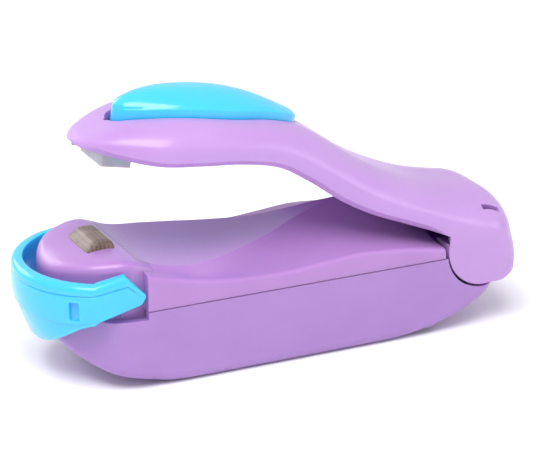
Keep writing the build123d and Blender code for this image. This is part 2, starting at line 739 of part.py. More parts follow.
def pad_plan(grow):
    """The press pad's leaf-shaped plan outline, grown all round."""
    middle = [(along, half + grow) for along, half, edge, crown in PAD[1:-1]]
    outline = [(PAD_FRONT - grow, PAD[0][1] + grow), *middle, (PAD_BACK + grow, PAD[-1][1] + grow)]
    for side in (1, -1):
        Spline(*[(along, side * half) for along, half in outline])
        Line((outline[0][0], 0), (outline[0][0], side * outline[0][1]))
        Line((outline[-1][0], 0), (outline[-1][0], side * outline[-1][1]))


EAR_BOSS_R = 3.6
LANYARD_ALONG = 2.0
LANYARD_UP = 8.8
LANYARD_LENGTH = 5.2
LANYARD_HEIGHT = 1.8
LANYARD_TURN = -14
LANYARD_DEPTH = 9.5

with BuildPart() as pad_opening:
    with BuildSketch(ARM_TOP.offset(PAD_SKIRT_UP + 0.2)):
        with BuildLine():
            pad_plan(PAD_GAP)
        make_face()
    extrude(amount=10)

with BuildPart() as arm_hollow:
    for along, low, top, half, top_half in ARM[HOLLOW_FROM:]:
        with BuildSketch(arm_section(max(along, HOLLOW_FRONT))):
            with BuildLine():
                arm_outline(low, top, half, top_half, WALL, low - 2.0, INNER_LIP)
            make_face()
    loft()
    # leave a collar hanging from the roof round the press pad
    with BuildSketch(ARM_TOP.offset(PAD_SKIRT_UP + 0.2)):
        with BuildLine():
            pad_plan(PAD_GAP + WALL)
        make_face()
    extrude(amount=10, mode=Mode.SUBTRACT)

with BuildPart() as ear_hollow:
    with BuildSketch(ARM_SIDE):
        with BuildLine():
            ear_outline(BACK_R - WALL, EAR_R - WALL)
        make_face()
    extrude(amount=HALF_WIDTH - WALL, both=True)
    with BuildSketch(arm_section(-EAR_R)):
        with BuildLine():
            arm_outline(*ARM[-1][1:], WALL, -EAR_R, 0)
        make_face()
    extrude(amount=EAR_R + BACK_R + 2 * BACK_SWELL, mode=Mode.INTERSECT)
    with BuildSketch(ARM_SIDE):
        with Locations((-2 - EAR_R / 2, -EAR_R / 2)):
            Rectangle(EAR_R + 7, EAR_R + 4)
    extrude(amount=EAR_INNER_Y, both=True)

with BuildPart() as ear_block:
    with BuildSketch(ARM_SIDE):
        with BuildLine():
            ear_outline(BACK_R, EAR_R)
        make_face()
    extrude(amount=HALF_WIDTH, both=True)
    with BuildSketch(arm_section(-EAR_R)):
        with BuildLine():
            arm_outline(*ARM[-1][1:], 0, -EAR_R, 0)
        make_face()
    extrude(amount=EAR_R + BACK_R + 2 * BACK_SWELL, mode=Mode.INTERSECT)

with BuildPart() as arm_shell:
    for along, low, top, half, top_half in ARM:
        with BuildSketch(arm_section(along)):
            with BuildLine():
                arm_outline(low, top, half, top_half, 0, low, LIP)
            make_face()
    loft()
    add(ear_block.part)
    add(arm_hollow.part, mode=Mode.SUBTRACT)
    add(ear_hollow.part, mode=Mode.SUBTRACT)
    add(pad_opening.part, mode=Mode.SUBTRACT)
    # ear bosses round the pin
    for boss_side in (SIDE.offset(EAR_INNER_Y), SIDE.offset(-HALF_WIDTH + WALL)):
        with BuildSketch(boss_side):
            with Locations((HINGE_X, HINGE_Z)):
                Circle(EAR_BOSS_R)
        extrude(amount=HALF_WIDTH - WALL - EAR_INNER_Y)
    with BuildSketch(SIDE):
        with Locations((HINGE_X, HINGE_Z)):
            Circle(PIN_R + PIN_CLEARANCE)
    extrude(amount=PIN_HALF + 0.1, both=True, mode=Mode.SUBTRACT)
    # lanyard slot through the near shoulder
    with BuildSketch(ARM_SIDE.offset(HALF_WIDTH - LANYARD_DEPTH)):
        with Locations((LANYARD_ALONG, LANYARD_UP)):
            Rectangle(LANYARD_LENGTH, LANYARD_HEIGHT, rotation=LANYARD_TURN)
    extrude(amount=LANYARD_DEPTH, mode=Mode.SUBTRACT)

# ---------------------------------------------------------------- press pad

ARC_REACH = 0.95


def crown_outline(half, edge, crown, low, spread):
    """A slab of the pad: its top is an arc that is crown high in the middle and edge high at its edges."""
    rise = crown - edge
    radius = (half**2 + rise**2) / (2 * rise)
    reach = min(half + spread, ARC_REACH * radius)
    end = crown - radius + sqrt(radius**2 - reach**2)
    Polyline((reach, end), (reach, low), (-reach, low), (-reach, end))
    ThreePointArc((-reach, end), (0, crown), (reach, end))


with BuildPart() as press_pad_hollow:
    for along, half, edge, crown in PAD[1:-1]:
        with BuildSketch(arm_section(along)):
            with BuildLine():
                crown_outline(half - PAD_SKIN, edge - PAD_SKIN, crown - PAD_SKIN, PAD_FLANGE_UP - 1, 0)
            make_face()
    loft()

with BuildPart() as pad_crown:
    for along, half, edge, crown in PAD:
        with BuildSketch(arm_section(along + (along - PAD_MIDDLE) * 0.02)):
            with BuildLine():
                crown_outline(half, edge, crown, PAD_FLANGE_UP, 1.2)
            make_face()
    loft()

with BuildPart() as press_pad:
    with BuildSketch(ARM_TOP.offset(PAD_SKIRT_UP)):
        with BuildLine():
            pad_plan(0)
        make_face()
    extrude(amount=12)
    add(pad_crown.part, mode=Mode.INTERSECT)
    # flange that holds the pad under the collar
    with BuildSketch(ARM_TOP.offset(PAD_FLANGE_UP)):
        with BuildLine():
            pad_plan(PAD_GAP + 0.9)
        make_face()
    extrude(amount=PAD_SKIRT_UP - PAD_FLANGE_UP)
    add(press_pad_hollow.part, mode=Mode.SUBTRACT)

# ---------------------------------------------------------------- jaw plate, silicone block and pad springs

PLATE_LOW = 15.7
PLATE_TOP = 16.7
PLATE_INSET = WALL + 1.0
PLATE_STATIONS = (-92.6, -90.0, -86.0, -80.0, -75.0, -70.0)
SILICONE_ALONG = JAW_X - HINGE_X
SILICONE_UP = JAW_CLOSED_Z - HINGE_Z
PAD_SPRING_ALONG = (-81.0, -70.5)
PAD_SPRING_LENGTH = 8.2
PLUNGER_LENGTH = 7.6


def half_width_at(along):
    """The arm's widest half-width at this distance, between its cross-sections."""
    for (a0, *rest0), (a1, *rest1) in zip(ARM, ARM[1:]):
        if a0 <= along <= a1:
            share = (along - a0) / (a1 - a0)
            return rest0[2] * (1 - share) + rest1[2] * share
    return HALF_WIDTH


with BuildPart() as jaw_plate:
    with BuildSketch(ARM_TOP.offset(PLATE_LOW)):
        with BuildLine():
            for side in (1, -1):
                edge = [(along, side * (half_width_at(along) - PLATE_INSET)) for along in PLATE_STATIONS]
                Spline(*edge)
                Line((edge[0][0], 0), edge[0])
                Line((edge[-1][0], 0), edge[-1])
        make_face()
    extrude(amount=PLATE_TOP - PLATE_LOW)
    with BuildSketch(ARM_TOP.offset(PLATE_LOW)):
        with Locations((SILICONE_ALONG, 0)):
            Rectangle(JAW_LENGTH - 2.0, 2 * JAW_HALF - 3.0)
    extrude(amount=5, mode=Mode.SUBTRACT)

with BuildPart() as silicone_block:
    with BuildSketch(ARM_TOP.offset(SILICONE_UP)):
        with Locations((SILICONE_ALONG, 0)):
            Rectangle(JAW_LENGTH, 2 * JAW_HALF)
    extrude(amount=PLATE_LOW - SILICONE_UP)
    with BuildSketch(ARM_TOP.offset(SILICONE_UP + 1)):
        with Locations((SILICONE_ALONG, 0)):
            Rectangle(JAW_LENGTH - 2.2, 2 * JAW_HALF - 3.2)
    extrude(amount=PLATE_TOP - SILICONE_UP - 1)

with BuildPart() as pad_springs:
    with BuildSketch(ARM_TOP.offset(PLATE_TOP)):
        with Locations(*[(along, 0) for along in PAD_SPRING_ALONG]):
            Circle(2.8)
            Circle(2.1, mode=Mode.SUBTRACT)
    extrude(amount=PAD_SPRING_LENGTH)

with BuildPart() as switch_plunger:
    with BuildSketch(ARM_TOP.offset(PLUNGER_CLOSED_Z - HINGE_Z)):
        with Locations((SLOT_X - HINGE_X, 0)):
            Rectangle(2.2, 5.0)
    extrude(amount=PLUNGER_LENGTH)

# ---------------------------------------------------------------- safety lock

LOCK_STRAIGHT_X = -48.0
LOCK_FOOT_Z = 9.4
# The ring's skin, as distance from the nose's centre and height: it leans in towards the foot
LOCK_SKIN_OUT = [(18.6, LOCK_FOOT_Z), (20.9, 15.0), (LOCK_OUTER_R, 21.0), (LOCK_OUTER_R - 0.1, 25.0)]
LOCK_SKIN_IN = [(LOCK_INNER_R, LOCK_TOP_Z), (LOCK_INNER_R, 21.0), (18.6, 15.0), (16.9, LOCK_FOOT_Z)]
LOCK_BELT_Z = 17.4

with BuildPart() as safety_lock:
    with BuildSketch(Plane(origin=(NOSE_X, 0, 0), x_dir=(-1, 0, 0), z_dir=(0, 1, 0))):
        with BuildLine():
            outside = Spline(*LOCK_SKIN_OUT)
            rim = RadiusArc(LOCK_SKIN_OUT[-1], (LOCK_OUTER_R - 1.5, LOCK_TOP_Z), -1.6)
            Line(rim @ 1, LOCK_SKIN_IN[0])
            inside = Spline(*LOCK_SKIN_IN)
            Line(LOCK_SKIN_IN[-1], LOCK_SKIN_OUT[0])
        make_face()
    revolve(axis=Axis((NOSE_X, 0, 0), (0, 0, 1)))
    # keep the front of the ring, with a tongue below it
    with BuildSketch(body_section(NOSE_X - 40)):
        with BuildLine():
            for side in (1, -1):
                Line((0, LOCK_TOP_Z), (side * HALF_WIDTH, LOCK_TOP_Z))
                Line((side * HALF_WIDTH, LOCK_TOP_Z), (side * HALF_WIDTH, LOCK_BELT_Z))
                Line((side * HALF_WIDTH, LOCK_BELT_Z), (side * 17.0, LOCK_BELT_Z))
                tongue = [(side * 17.0, LOCK_BELT_Z), (side * 12.5, 12.6), (0, LOCK_FOOT_Z)]
                Spline(*tongue, tangents=[(-side * 0.6, -1), (-side, 0)])
        make_face()
    extrude(amount=40 - (NOSE_X - LOCK_STRAIGHT_X), mode=Mode.INTERSECT)
    # straight arms back to the pivot
    for arm_side in (SIDE.offset(LOCK_INNER_Y), SIDE.offset(-HALF_WIDTH)):
        with BuildSketch(arm_side):
            with BuildLine():
                Polyline(
                    (-49.4, LOCK_TOP_Z),
                    (-41.0, 27.6),
                    (-36.6, 22.7),
                    (-37.4, 20.4),
                    (-49.4, LOCK_BELT_Z),
                    close=True,
                )
            make_face()
        extrude(amount=HALF_WIDTH - LOCK_INNER_Y)
    # pivot studs
    for stud_side in (SIDE.offset(LOCK_BOSS_Y + 0.5), SIDE.offset(-LOCK_INNER_Y)):
        with BuildSketch(stud_side):
            with Locations((LOCK_PIVOT_X, LOCK_PIVOT_Z)):
                Circle(LOCK_STUD_R)
        extrude(amount=LOCK_INNER_Y - LOCK_BOSS_Y - 0.5)

# ---------------------------------------------------------------- shell screws

with BuildPart() as shell_screws:
    with BuildSketch(Plane.XY.offset(SCREW_SEAT_Z - 1.4)):
        with Locations(*SCREW_SPOTS):
            Circle(SCREW_HEAD_R)
    extrude(amount=1.4)
    with BuildSketch(Plane.XY.offset(SCREW_SEAT_Z)):
        with Locations(*SCREW_SPOTS):
            Circle(SCREW_R)
    extrude(amount=SCREW_TIP_Z - 0.2 - SCREW_SEAT_Z)
    with BuildSketch(Plane.XY.offset(SCREW_SEAT_Z - 1.4)):
        with Locations(*SCREW_SPOTS):
            Rectangle(2.6, 0.5)
            Rectangle(0.5, 2.6)
    extrude(amount=0.7, mode=Mode.SUBTRACT)

# ---------------------------------------------------------------- write the parts

NODES = {
    "base_lower_shell": base_lower_shell,
    "base_upper_shell": base_upper_shell,
    "shell_screws": shell_screws,
    "battery_cover": battery_cover,
    "aa_cell_left": aa_cell_left,
    "aa_cell_right": aa_cell_right,
    "bridge_contact": bridge_contact,
    "contact_plus": contact_plus,
    "contact_minus": contact_minus,
    "battery_springs": battery_springs,
    "heater_block": heater_block,
    "heating_strip": heating_strip,
    "heater_cloth": heater_cloth,
    "heater_terminals": heater_terminals,
    "heater_screws": heater_screws,
    "switch_block": switch_block,
    "switch_leaf": switch_leaf,
    "switch_contact": switch_contact,
    **leads,
    "hinge_pin": hinge_pin,
    "return_spring": return_spring,
    "arm_shell": arm_shell,
    "jaw_plate": jaw_plate,
    "silicone_block": silicone_block,
    "pad_springs": pad_springs,
    "switch_plunger": switch_plunger,
    "press_pad": press_pad,
    "safety_lock": safety_lock,
}

os.makedirs("parts", exist_ok=True)
for name, node in NODES.items():
    node.part.label = name
    export_step(node.part, f"parts/{name}.step")
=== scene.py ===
import json
from math import atan2, cos, degrees, hypot, radians, sin, sqrt

import bmesh
import bpy
from mathutils import Matrix, Vector


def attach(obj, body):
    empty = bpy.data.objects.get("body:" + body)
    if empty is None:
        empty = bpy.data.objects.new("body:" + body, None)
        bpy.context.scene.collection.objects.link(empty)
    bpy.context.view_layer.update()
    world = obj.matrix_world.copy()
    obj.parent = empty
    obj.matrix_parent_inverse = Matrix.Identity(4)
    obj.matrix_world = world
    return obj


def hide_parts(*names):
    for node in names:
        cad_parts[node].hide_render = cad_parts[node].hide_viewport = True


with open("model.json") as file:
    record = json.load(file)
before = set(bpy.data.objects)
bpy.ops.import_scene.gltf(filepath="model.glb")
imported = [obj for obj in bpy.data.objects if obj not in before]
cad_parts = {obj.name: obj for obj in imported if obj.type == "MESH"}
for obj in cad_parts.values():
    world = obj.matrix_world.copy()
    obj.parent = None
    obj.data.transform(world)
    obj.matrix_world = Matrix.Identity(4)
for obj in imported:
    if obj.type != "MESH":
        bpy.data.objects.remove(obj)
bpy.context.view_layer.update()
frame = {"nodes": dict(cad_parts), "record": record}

MM = 0.001

# ---------------------------------------------------------------- sizes that the CAD has too, in millimetres

OPEN = radians(10.9)
HINGE_X = 48.6
HINGE_Z = 19.6
HALF_WIDTH = 19.0
SEAM_Z = 18.3
WALL = 1.8
BACK_R = 11.3
BACK_SWELL = 1.0
EAR_R = 9.0
NOSE_X = -37.7
NOSE_R = 16.2
STEP_X = -36.0
JAW_X = -41.8

# along, lower edge, top, widest half-width, half-width of the top
ARM = [
    (-99.8, 15.9, 16.4, 0.7, 0.4),
    (-99.4, 15.6, 16.6, 2.4, 1.4),
    (-98.2, 15.2, 17.4, 4.8, 2.3),
    (-95.6, 15.1, 18.9, 8.0, 3.1),
    (-91.5, 14.9, 21.2, 11.6, 4.5),
    (-84.0, 14.9, 23.4, 16.0, 8.0),
    (-75.0, 15.7, 24.8, 17.1, 9.9),
    (-65.0, 16.6, 25.0, 17.2, 9.7),
    (-55.0, 16.1, 24.9, 16.7, 7.9),
    (-46.5, 12.9, 23.4, 16.2, 5.9),
    (-38.0, 8.9, 20.0, 16.2, 5.1),
    (-30.0, 6.2, 16.4, 16.6, 4.5),
    (-20.0, 4.2, 13.4, 17.4, 4.0),
    (-10.0, 2.3, 11.6, 18.3, 3.6),
    (0.0, 0.0, BACK_R, HALF_WIDTH, 3.5),
]
# along, half-width, edge height, crown height
PAD = [
    (-90.6, 0.3, 23.8, 24.5),
    (-90.1, 1.8, 24.0, 25.3),
    (-87.5, 4.1, 24.6, 27.0),
    (-82.0, 6.8, 25.8, 28.9),
    (-73.0, 9.3, 26.9, 30.0),
    (-65.0, 9.1, 27.0, 30.1),
    (-57.5, 7.8, 27.0, 29.0),
    (-50.5, 5.5, 26.1, 27.0),
    (-46.4, 2.2, 24.9, 25.4),
    (-45.6, 0.3, 24.5, 24.7),
]
# X, rim height, scoop half-width, scoop height
DECK = [
    (-36.0, 27.0, 13.2, 28.6),
    (-31.0, 25.8, 14.2, 27.1),
    (-24.0, 24.1, 14.8, 26.2),
    (-17.0, 23.0, 13.2, 26.0),
    (-9.0, 22.4, 9.8, 26.3),
    (0.0, 22.4, 6.0, 27.1),
    (8.0, 23.0, 2.9, 28.8),
    (16.0, 23.6, 1.2, 30.1),
    (24.0, 23.1, 1.2, 30.2),
    (32.0, 22.1, 1.2, 28.4),
    (38.4, 20.9, 1.2, 25.0),
]
NOSE_TOP = [(-54.5, 26.6), (-51.0, 28.3), (-45.0, 29.3), (-39.0, 29.5), (-36.0, 28.55), (-33.5, 27.55)]

# ---------------------------------------------------------------- helpers for curves and meshes


def row_at(table, x):
    """The table's row at x, on a smooth curve through its rows."""
    x = min(max(x, table[0][0]), table[-1][0])
    i = 0
    while i < len(table) - 2 and x > table[i + 1][0]:
        i += 1
    a, b = table[i], table[i + 1]
    step = b[0] - a[0]
    t = (x - a[0]) / step
    row = []
    for k in range(1, len(a)):
        here = (b[k] - a[k]) / step
        before = here if i == 0 else (a[k] - table[i - 1][k]) / (a[0] - table[i - 1][0])
        after = here if i + 2 >= len(table) else (table[i + 2][k] - b[k]) / (table[i + 2][0] - b[0])
        left = (before + here) / 2
        right = (here + after) / 2
        row.append(
            (2 * t**3 - 3 * t**2 + 1) * a[k]
            + (t**3 - 2 * t**2 + t) * step * left
            + (3 * t**2 - 2 * t**3) * b[k]
            + (t**3 - t**2) * step * right
        )
    return row


def bezier(p, q, r, s, count):
    """Points on a cubic curve, count steps from p to s, both ends included."""
    points = []
    for i in range(count + 1):
        t = i / count
        u = 1 - t
        weights = (u**3, 3 * u * u * t, 3 * u * t * t, t**3)
        points.append(tuple(sum(w * v for w, v in zip(weights, values)) for values in zip(p, q, r, s)))
    return points


def arc(centre, radius, start, end, count):
    """Points on a circle, from start to end in degrees."""
    angles = [radians(start + (end - start) * i / count) for i in range(count + 1)]
    return [(centre[0] + radius * cos(a), centre[1] + radius * sin(a)) for a in angles]


def through(a, b, c, count):
    """Points on the circle through three points, from a by way of b to c."""
    turn = 2 * (a[0] * (b[1] - c[1]) + b[0] * (c[1] - a[1]) + c[0] * (a[1] - b[1]))
    squares = [p[0] ** 2 + p[1] ** 2 for p in (a, b, c)]
    x = (squares[0] * (b[1] - c[1]) + squares[1] * (c[1] - a[1]) + squares[2] * (a[1] - b[1])) / turn
    y = (squares[0] * (c[0] - b[0]) + squares[1] * (a[0] - c[0]) + squares[2] * (b[0] - a[0])) / turn
    start = degrees(atan2(a[1] - y, a[0] - x))
    end = degrees(atan2(c[1] - y, c[0] - x))
    return arc((x, y), hypot(a[0] - x, a[1] - y), start, end, count)


def polar(radius, angle):
    """A point at this distance and angle, in degrees, from the origin."""
    return (radius * cos(radians(angle)), radius * sin(radians(angle)))


def resample(points, count):
    """The polyline as count equal steps."""
    lengths = [0]
    for a, b in zip(points, points[1:]):
        lengths.append(lengths[-1] + hypot(b[0] - a[0], b[1] - a[1]))
    out = []
    k = 0
    for i in range(count + 1):
        want = lengths[-1] * i / count
        while k < len(points) - 2 and lengths[k + 1] < want:
            k += 1
        span = lengths[k + 1] - lengths[k]
        t = (want - lengths[k]) / span if span > 1e-9 else 0
        out.append(tuple(a + (b - a) * t for a, b in zip(points[k], points[k + 1])))
    return out


def spread(start, end, count):
    """count + 1 evenly spaced values."""
    return [start + (end - start) * i / count for i in range(count + 1)]


def split_curve(curve, y):
    """The parts of a curve outside and inside of the half-width y, with a shared point where they meet."""
    k = next(k for k in range(len(curve) - 1) if curve[k][0] >= y >= curve[k + 1][0])
    t = (curve[k][0] - y) / max(curve[k][0] - curve[k + 1][0], 1e-9)
    meet = (y, curve[k][1] + (curve[k + 1][1] - curve[k][1]) * t)
    return curve[: k + 1] + [meet], [meet] + curve[k + 1 :]


def both_sides(half):
    """A full outline from one side of it: from the foot at -y to the foot at +y."""
    return [(-y, up) for y, up in half] + [(y, up) for y, up in reversed(half[:-1])]


def make(name, points, faces):
    """A mesh object from points in millimetres, with its doubles merged and its normals pointing out."""
    bm = bmesh.new()
    verts = [bm.verts.new(Vector(p) * MM) for p in points]
    for face in faces:
        bm.faces.new([verts[i] for i in face])
    loose = [v for v in bm.verts if not v.link_faces]
    bmesh.ops.delete(bm, geom=loose, context="VERTS")
    bmesh.ops.remove_doubles(bm, verts=bm.verts, dist=2e-6)
    bmesh.ops.dissolve_degenerate(bm, edges=bm.edges, dist=1e-6)
    bmesh.ops.recalc_face_normals(bm, faces=bm.faces)
    mesh = bpy.data.meshes.new(name)
    bm.to_mesh(mesh)
    bm.free()
    mesh.shade_smooth()
    obj = bpy.data.objects.new(name, mesh)
    bpy.context.scene.collection.objects.link(obj)
    return obj


def grid(rings, closed=False, skip=None, caps=0):
    """Points and faces of a grid of rings. skip(i, j) leaves a face out. caps is how many ends are closed."""
    points = [p for ring in rings for p in ring]
    n = len(rings[0])
    faces = []
    for i in range(len(rings) - 1):
        for j in range(n if closed else n - 1):
            if skip and skip(i, j):
                continue
            k = (j + 1) % n
            faces.append((i * n + j, i * n + k, (i + 1) * n + k, (i + 1) * n + j))
    if caps > 0:
        faces.append(tuple(range(n)))
    if caps > 1:
        faces.append(tuple(range(len(points) - n, len(points))))
    return points, faces


def bake(obj, sharp=32):
    """Applies the object's modifiers and marks its sharp edges."""
    graph = bpy.context.evaluated_depsgraph_get()
    mesh = bpy.data.meshes.new_from_object(obj.evaluated_get(graph))
    obj.modifiers.clear()
    old = obj.data
    obj.data = mesh
    bpy.data.meshes.remove(old)
    mesh.name = obj.name
    mesh.shade_smooth()
    mesh.set_sharp_from_angle(angle=radians(sharp))


def thicken(obj, thickness=WALL):
    """Gives a skin its wall, inwards."""
    solid = obj.modifiers.new("wall", "SOLIDIFY")
    solid.thickness = thickness * MM
    solid.offset = -1


def cut(obj, *cutters):
    """Cuts the closed cutters out of the object and deletes them."""
    for cutter in cutters:
        boolean = obj.modifiers.new("cut", "BOOLEAN")
        boolean.operation = "DIFFERENCE"
        boolean.solver = "EXACT"
        boolean.object = cutter
    bake(obj)
    for cutter in cutters:
        bpy.data.objects.remove(cutter)


def block(name, centre, size, radius, turn=None):
    """A box with rounded edges, turned by a matrix about its centre."""
    bm = bmesh.new()
    bmesh.ops.create_cube(bm, size=1)
    bmesh.ops.scale(bm, vec=Vector(size) * MM, verts=bm.verts)
    bmesh.ops.bevel(bm, geom=bm.edges, offset=radius * MM, segments=4, profile=0.5, affect="EDGES")
    if turn:
        bmesh.ops.transform(bm, matrix=turn, verts=bm.verts)
    bmesh.ops.translate(bm, vec=Vector(centre) * MM, verts=bm.verts)
    mesh = bpy.data.meshes.new(name)
    bm.to_mesh(mesh)
    bm.free()
    obj = bpy.data.objects.new(name, mesh)
    bpy.context.scene.collection.objects.link(obj)
    return obj


def finish_piece(obj, body, slot, look, *nodes):
    """Gives a piece its material and its body, and hides the CAD nodes that it stands for. slot is not used.
    """
    obj.data.materials.clear()
    obj.data.materials.append(look)
    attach(obj, body)
    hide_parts(*nodes)
    return obj


def in_arm(along, y, up):
    """A point given in the arm, as it stands open."""
    return (
        HINGE_X + along * cos(OPEN) + up * sin(OPEN),
        y,
        HINGE_Z - along * sin(OPEN) + up * cos(OPEN),
    )


# ---------------------------------------------------------------- materials


class Look:
    """A material with a principled shader, built up node by node."""

    def __init__(self, name):
        self.material = bpy.data.materials.new(name)
        self.material.use_nodes = True
        self.tree = self.material.node_tree
        self.shader = self.tree.nodes["Principled BSDF"]
        self.place = self.add("ShaderNodeTexCoord").outputs["Object"]
        self.normal = None

    def add(self, kind, **values):
        node = self.tree.nodes.new(kind)
        for key, value in values.items():
            setattr(node, key, value)
        return node

    def link(self, start, end):
        self.tree.links.new(start, end)

    def set(self, **values):
        for key, value in values.items():
            self.shader.inputs[key.replace("_", " ")].default_value = value

    def noise(self, scale, detail=3.0, rough=0.5, stretch=None):
        """A noise whose grains are about 1 / scale metres."""
        node = self.add("ShaderNodeTexNoise")
        node.inputs["Scale"].default_value = scale
        node.inputs["Detail"].default_value = detail
        node.inputs["Roughness"].default_value = rough
        source = self.place
        if stretch:
            mapping = self.add("ShaderNodeMapping")
            mapping.inputs["Scale"].default_value = stretch
            self.link(self.place, mapping.inputs["Vector"])
            source = mapping.outputs["Vector"]
        self.link(source, node.inputs["Vector"])
        return node.outputs["Fac"]

    def ramp(self, factor, *stops):
        node = self.add("ShaderNodeValToRGB")
        while len(node.color_ramp.elements) < len(stops):
            node.color_ramp.elements.new(0.5)
        for element, (position, color) in zip(node.color_ramp.elements, stops):
            element.position = position
            element.color = color if len(color) == 4 else (*color, 1)
        self.link(factor, node.inputs["Fac"])
        return node.outputs["Color"]

    def span(self, factor, low, high, start=0.3, end=0.7):
        """The factor from start to end, spread from low to high."""
        node = self.add("ShaderNodeMapRange")
        node.inputs["From Min"].default_value = start
        node.inputs["From Max"].default_value = end
        node.inputs["To Min"].default_value = low
        node.inputs["To Max"].default_value = high
        self.link(factor, node.inputs["Value"])
        return node.outputs["Result"]

    def soften(self, radius):
        """Rounds the edges' shading by this radius, in metres."""
        node = self.add("ShaderNodeBevel", samples=6)
        node.inputs["Radius"].default_value = radius
        self.normal = node.outputs["Normal"]
        self.link(self.normal, self.shader.inputs["Normal"])

    def bump(self, height, distance, strength=1.0):
        node = self.add("ShaderNodeBump")
        node.inputs["Distance"].default_value = distance
        node.inputs["Strength"].default_value = strength
        self.link(height, node.inputs["Height"])
        if self.normal:
            self.link(self.normal, node.inputs["Normal"])
        self.normal = node.outputs["Normal"]
        self.link(self.normal, self.shader.inputs["Normal"])


def plastic(name, light, deep, roughness=0.32, coat=0.15, scatter=0.25, reach=(1, 1, 1), grain=4e-6):
    """Moulded plastic: faint flow marks, a fine skin, and fine scratches in its gloss."""
    look = Look(name)
    flow = look.noise(55, 2.0, 0.5, (1.0, 0.6, 1.6))
    look.link(look.ramp(flow, (0.3, light), (0.72, deep)), look.shader.inputs["Base Color"])
    scratch = look.noise(2200, 4.0, 0.6)
    look.link(look.span(scratch, roughness * 0.9, roughness * 1.2), look.shader.inputs["Roughness"])
    look.set(Coat_Weight=coat, Coat_Roughness=0.12, IOR=1.5, Subsurface_Weight=scatter)
    look.shader.inputs["Subsurface Radius"].default_value = reach
    look.shader.inputs["Subsurface Scale"].default_value = 0.004
    look.soften(0.0003)
    look.bump(look.noise(2600, 3.0, 0.6), grain)
    return look.material


def metal(name, light, deep, roughness, stretch=(1, 1, 1), scale=900, bump=3e-6):
    """Worked metal: a fine directional grain with dull spots."""
    look = Look(name)
    spots = look.noise(260, 3.0)
    look.link(look.ramp(spots, (0.3, light), (0.75, deep)), look.shader.inputs["Base Color"])
    grain = look.noise(scale, 4.0, 0.6, stretch)
    look.link(look.span(grain, roughness * 0.7, roughness * 1.5), look.shader.inputs["Roughness"])
    look.set(Metallic=1.0)
    look.soften(0.00015)
    look.bump(grain, bump)
    return look.material


def fabric(name):
    """Coated glass cloth: a plain weave of fine threads, scorched a little by use."""
    look = Look(name)
    waves = []
    for axis in ("X", "Y"):
        wave = look.add("ShaderNodeTexWave", wave_type="BANDS", bands_direction=axis, wave_profile="SIN")
        wave.inputs["Scale"].default_value = 330
        wave.inputs["Distortion"].default_value = 0.35
        wave.inputs["Detail"].default_value = 1.0
        look.link(look.place, wave.inputs["Vector"])
        waves.append(wave.outputs["Fac"])
    weave = look.add("ShaderNodeMath", operation="MULTIPLY")
    look.link(waves[0], weave.inputs[0])
    look.link(waves[1], weave.inputs[1])
    stain = look.noise(260, 4.0)
    ground = look.ramp(stain, (0.3, (0.235, 0.155, 0.125)), (0.7, (0.12, 0.075, 0.06)))
    threads = look.add("ShaderNodeMix", data_type="RGBA", blend_type="MULTIPLY")
    threads.inputs["Factor"].default_value = 0.8
    look.link(ground, threads.inputs["A"])
    relief = look.ramp(weave.outputs[0], (0.0, (0.55, 0.5, 0.46)), (0.6, (1.25, 1.2, 1.15)))
    look.link(relief, threads.inputs["B"])
    look.link(threads.outputs["Result"], look.shader.inputs["Base Color"])
    look.link(look.span(stain, 0.35, 0.6), look.shader.inputs["Roughness"])
    look.set(Coat_Weight=0.25, Coat_Roughness=0.3, Sheen_Weight=0.15)
    look.bump(weave.outputs[0], 5e-5)
    return look.material


def rubber(name):
    """Half-clear silicone with a dusty, slightly pitted skin."""
    look = Look(name)
    dust = look.noise(420, 4.0)
    color = look.ramp(dust, (0.3, (0.55, 0.57, 0.62)), (0.75, (0.42, 0.43, 0.5)))
    look.link(color, look.shader.inputs["Base Color"])
    look.link(look.span(dust, 0.28, 0.5), look.shader.inputs["Roughness"])
    look.set(Subsurface_Weight=0.7, Coat_Weight=0.1, IOR=1.42, Transmission_Weight=0.15)
    look.shader.inputs["Subsurface Scale"].default_value = 0.003
    look.soften(0.0005)
    look.bump(look.noise(1800, 3.0), 8e-6)
    return look.material


def matt(name, light, deep, roughness=0.55, scale=300):
    """A dull moulded or baked surface with a fine grain."""
    look = Look(name)
    look.link(look.ramp(look.noise(scale, 4.0), (0.3, light), (0.7, deep)), look.shader.inputs["Base Color"])
    wear = look.span(look.noise(scale * 4, 3.0), roughness * 0.8, roughness * 1.2)
    look.link(wear, look.shader.inputs["Roughness"])
    look.soften(0.0002)
    look.bump(look.noise(scale * 8, 3.0), 8e-6)
    return look.material


def jacket(name):
    """A cell's printed sleeve: a dark body with a copper-coloured end, and no lettering."""
    look = Look(name)
    split = look.add("ShaderNodeSeparateXYZ")
    look.link(look.place, split.inputs["Vector"])
    band = look.span(split.outputs["X"], 0.0, 1.0, -0.010, 0.020)
    dark = ((0.0, (0.02, 0.022, 0.028)), (0.62, (0.03, 0.032, 0.04)))
    copper = ((0.66, (0.62, 0.32, 0.12)), (1.0, (0.55, 0.28, 0.1)))
    look.link(look.ramp(band, *dark, *copper), look.shader.inputs["Base Color"])
    look.link(look.span(look.noise(700, 3.0), 0.2, 0.35), look.shader.inputs["Roughness"])
    look.set(Metallic=0.5, Coat_Weight=0.4)
    look.soften(0.0003)
    look.bump(look.noise(1500, 2.0), 3e-6)
    return look.material


